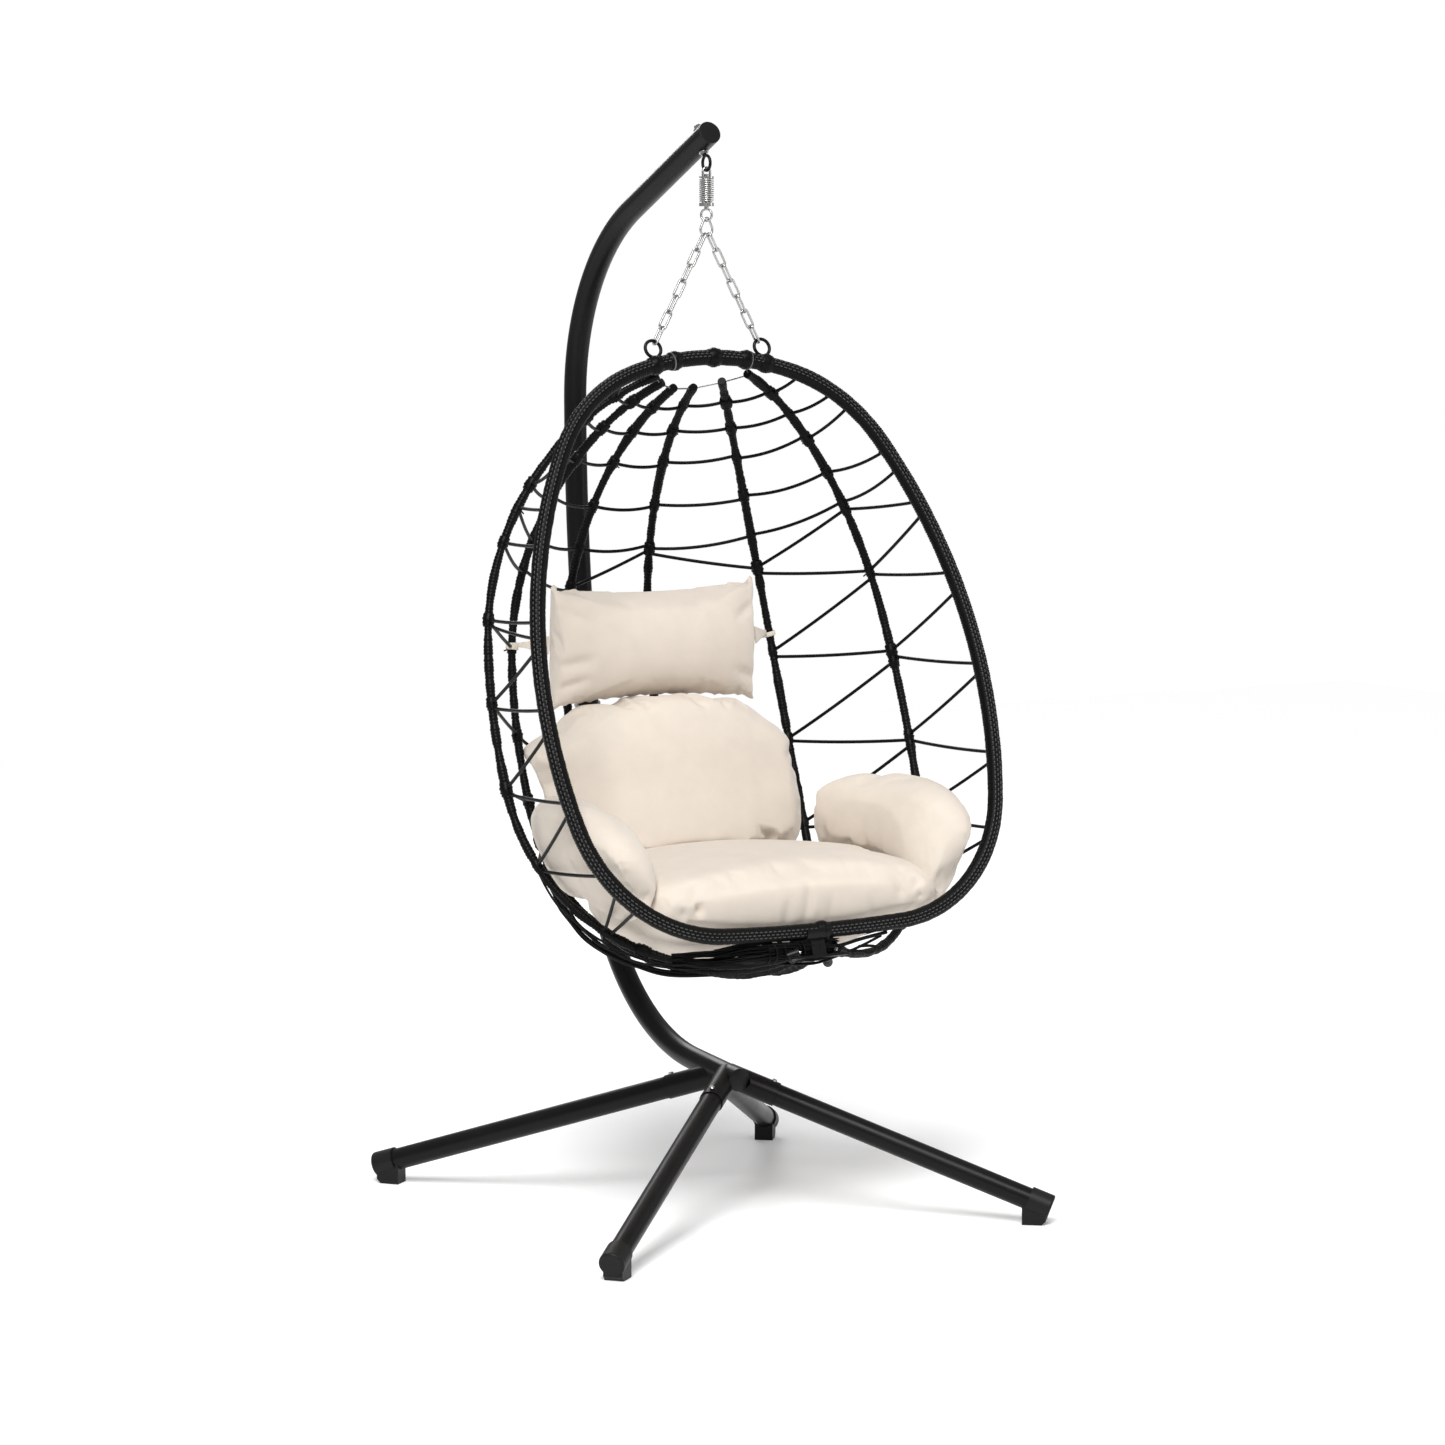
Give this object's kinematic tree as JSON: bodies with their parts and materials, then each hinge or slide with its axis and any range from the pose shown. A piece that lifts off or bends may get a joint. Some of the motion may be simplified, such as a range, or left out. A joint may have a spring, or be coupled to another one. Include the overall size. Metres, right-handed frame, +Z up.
{
  "type": "hanging egg chair",
  "caption": "Hanging egg chair: a cross-foot steel stand with a curved post, a sprung swivelling hanger on chains, and an open wicker and cord basket with padded cushions.",
  "frame": {"origin": "on the ground, in the middle of the footprint's bounding box", "axes": "+Z up, the chair faces -Y, and +X is on the right for someone who stands in front of it"},
  "size_m": [0.926, 0.9754, 1.9513],
  "materials": {
    "black_steel": "satin",
    "zinc_hardware": "satin",
    "wicker": "satin",
    "net_cord": "satin",
    "steel_cable": "satin",
    "cushion_fabric": "matte",
    "foot_plastic": "satin"
  },
  "bodies": {
    "stand": {"arm_end_cap": "foot_plastic", "base_end_cap": "foot_plastic", "eye_bolt": "black_steel", "eye_bolt_nuts": "black_steel", "foot_front_left": "foot_plastic", "foot_front_right": "foot_plastic", "foot_rear_left": "foot_plastic", "foot_rear_right": "foot_plastic", "leg_front_left": "black_steel", "leg_front_right": "black_steel", "leg_rear_left": "black_steel", "leg_rear_right": "black_steel", "leg_screws": "zinc_hardware", "lower_post": "black_steel", "post_joint_bolts": "zinc_hardware", "upper_post": "black_steel"},
    "hanger": {"hanger_yoke": "zinc_hardware", "spring_coil": "zinc_hardware", "spring_base_plate": "zinc_hardware"},
    "spring_plunger": {"spring_seat": "zinc_hardware"},
    "swivel": {"swivel_eye": "zinc_hardware", "swivel_nut": "zinc_hardware"},
    "chains": {"pear_link": "zinc_hardware", "chain_left": "zinc_hardware", "chain_right": "zinc_hardware"},
    "basket": {"arm_cushion_left": "cushion_fabric", "arm_cushion_right": "cushion_fabric", "back_cushion": "cushion_fabric", "eyelet_left": "black_steel", "eyelet_right": "black_steel", "head_pillow": "cushion_fabric", "hoop": "wicker", "hub_screws": "zinc_hardware", "net_back_left": "net_cord", "net_back_middle": "net_cord", "net_back_right": "net_cord", "net_left_back": "net_cord", "net_left_side": "net_cord", "net_right_back": "net_cord", "net_right_side": "net_cord", "pillow_tie_left": "cushion_fabric", "pillow_tie_right": "cushion_fabric", "rib_back_left": "wicker", "rib_back_right": "wicker", "rib_hub": "black_steel", "rib_middle_left": "wicker", "rib_middle_right": "wicker", "rib_side_left": "wicker", "rib_side_right": "wicker", "rib_top_cable": "steel_cable", "seat_cushion": "cushion_fabric"}
  },
  "joints": [
    {"name": "swing_fore_aft", "type": "hinge", "parent": "stand", "child": "hanger", "pos_m": [0, -0.0219, 1.87092], "axis": [1, 0, 0], "range_deg": [-18, 1]},
    {"name": "spring_stretch", "type": "slide", "parent": "hanger", "child": "spring_plunger", "axis": [0, 0, -1], "range_m": [0, 0.006], "stiffness_N_per_m": 200000, "springref_m": -0.00115, "deforming": ["spring_coil"]},
    {"name": "swivel", "type": "hinge", "parent": "spring_plunger", "child": "swivel", "pos_m": [0, -0.0219, 1.8], "axis": [0, 0, 1], "range_deg": [-30, 30]},
    {"name": "swing_side", "type": "hinge", "parent": "swivel", "child": "chains", "pos_m": [0, -0.0219, 1.77682], "axis": [0, 1, 0], "range_deg": [-5, 5]},
    {"name": "basket_nod", "type": "hinge", "parent": "chains", "child": "basket", "pos_m": [0, -0.0219, 1.56447], "axis": [1, 0, 0], "range_deg": [-12, 1]}
  ]
}
